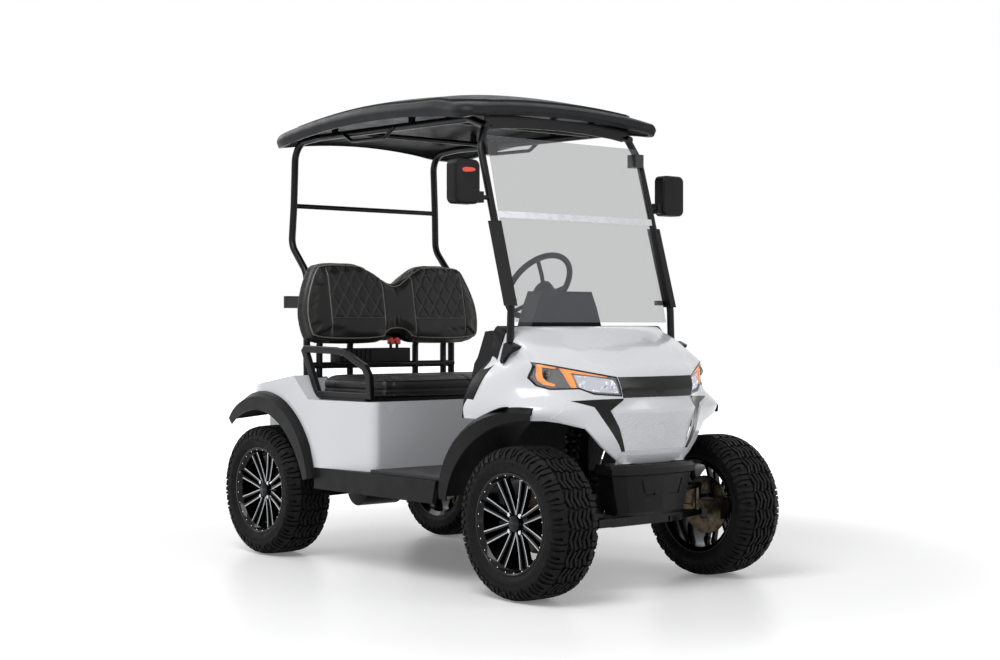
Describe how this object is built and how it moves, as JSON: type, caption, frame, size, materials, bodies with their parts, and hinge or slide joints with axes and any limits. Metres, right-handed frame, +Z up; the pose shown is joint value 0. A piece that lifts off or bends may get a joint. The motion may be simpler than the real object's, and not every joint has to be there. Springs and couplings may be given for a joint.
{
  "type": "golf cart",
  "caption": "Two-seat electric golf cart with roof, windshield, hollow body and cabin, steered front wheels and a lifting seat base.",
  "frame": {"origin": "centre of the overall box at the ground: midway between the axles, on the centre plane", "axes": "+X forward, +Y to the driver's left, +Z up"},
  "size_m": [2.302, 1.276, 2.0165],
  "materials": {
    "body_white": "glossy painted shell",
    "trim_black": "satin moulded",
    "roof_grey": "satin moulded",
    "frame_black": "powder coat",
    "floor_grey": "ribbed mat",
    "lamp": "clear over black",
    "tail_lamp": "red lens",
    "seat": "stitched",
    "board": "plain",
    "glass": "grey tint",
    "aluminium": "brushed",
    "mirror_housing": "satin",
    "running_gear": "satin",
    "battery": "plain",
    "grip": "soft grip",
    "rim": "gloss black with machined spokes",
    "tyre": "rubber"
  },
  "bodies": {
    "root": {"chassis_frame": "frame_black", "floor_pan": "floor_grey", "side_sills": "trim_black", "front_cowl": "body_white", "cowl_edge_trim": "trim_black", "grille_panel": "body_white", "nose_trim": "trim_black", "headlamps": "lamp", "front_bumper": "trim_black", "rear_body": "body_white", "bag_well": "trim_black", "front_flares": "trim_black", "rear_flares": "trim_black", "backrest": "seat", "backrest_frame": "frame_black", "belt_buckles": "trim_black", "armrests": "frame_black", "roof_frame": "frame_black", "roof": "roof_grey", "front_pillars": "frame_black", "windshield_lower": "glass", "windshield_upper": "glass", "windshield_fittings": "aluminium", "mirrors": "mirror_housing", "dashboard": "trim_black", "steering_column": "running_gear", "pedals": "trim_black", "front_suspension": "running_gear", "coil_overs": "running_gear", "rear_axle": "running_gear", "battery_pack": "battery", "tail_lamps": "tail_lamp", "rear_bumper": "trim_black", "bag_rack": "frame_black"},
    "seat_lid": {"seat_board": "board", "seat_cushion": "seat"},
    "steering_wheel": {"steering_wheel": "grip"},
    "tie_rods": {"tie_rods": "running_gear"},
    "knuckle_right": {"knuckle_right": "running_gear"},
    "knuckle_left": {"knuckle_left": "running_gear"},
    "wheel_front_right": {"rim_front_right": "rim", "tyre_front_right": "tyre"},
    "wheel_front_left": {"rim_front_left": "rim", "tyre_front_left": "tyre"},
    "wheel_rear_right": {"rim_rear_right": "rim", "tyre_rear_right": "tyre"},
    "wheel_rear_left": {"rim_rear_left": "rim", "tyre_rear_left": "tyre"}
  },
  "joints": [
    {"name": "steer_right", "type": "hinge", "parent": "root", "child": "knuckle_right", "pos_m": [0.861, -0.42, 0.29], "axis": [0, 0, 1], "range_deg": [-26, 26]},
    {"name": "steer_left", "type": "hinge", "parent": "root", "child": "knuckle_left", "pos_m": [0.861, 0.42, 0.29], "axis": [0, 0, 1], "range_deg": [-28, 28]},
    {"name": "steering_wheel_turn", "type": "hinge", "parent": "root", "child": "steering_wheel", "pos_m": [0.1, 0.225, 1.205], "axis": [-0.809, 0, 0.5878], "range_deg": [-395, 395]},
    {"name": "tie_rod_slide", "type": "slide", "parent": "root", "child": "tie_rods", "axis": [0, 1, 0], "range_m": [-0.055, 0.055]},
    {"name": "seat_lift", "type": "hinge", "parent": "root", "child": "seat_lid", "pos_m": [-0.604, 0, 0.712], "axis": [0, -1, 0], "range_deg": [0, 55]},
    {"name": "roll_front_right", "type": "hinge", "parent": "knuckle_right", "child": "wheel_front_right", "pos_m": [0.861, -0.51, 0.29], "axis": [0, 1, 0], "continuous": true},
    {"name": "roll_front_left", "type": "hinge", "parent": "knuckle_left", "child": "wheel_front_left", "pos_m": [0.861, 0.51, 0.29], "axis": [0, 1, 0], "continuous": true},
    {"name": "roll_rear_right", "type": "hinge", "parent": "root", "child": "wheel_rear_right", "pos_m": [-0.861, -0.51, 0.29], "axis": [0, 1, 0], "continuous": true},
    {"name": "roll_rear_left", "type": "hinge", "parent": "root", "child": "wheel_rear_left", "pos_m": [-0.861, 0.51, 0.29], "axis": [0, 1, 0], "continuous": true}
  ],
  "couplings": [
    {"joint": "steer_left", "follows": "steer_right", "ratio": 1},
    {"joint": "steering_wheel_turn", "follows": "steer_right", "ratio": 15},
    {"joint": "tie_rod_slide", "follows": "steer_right", "m_per_rad": -0.11}
  ]
}
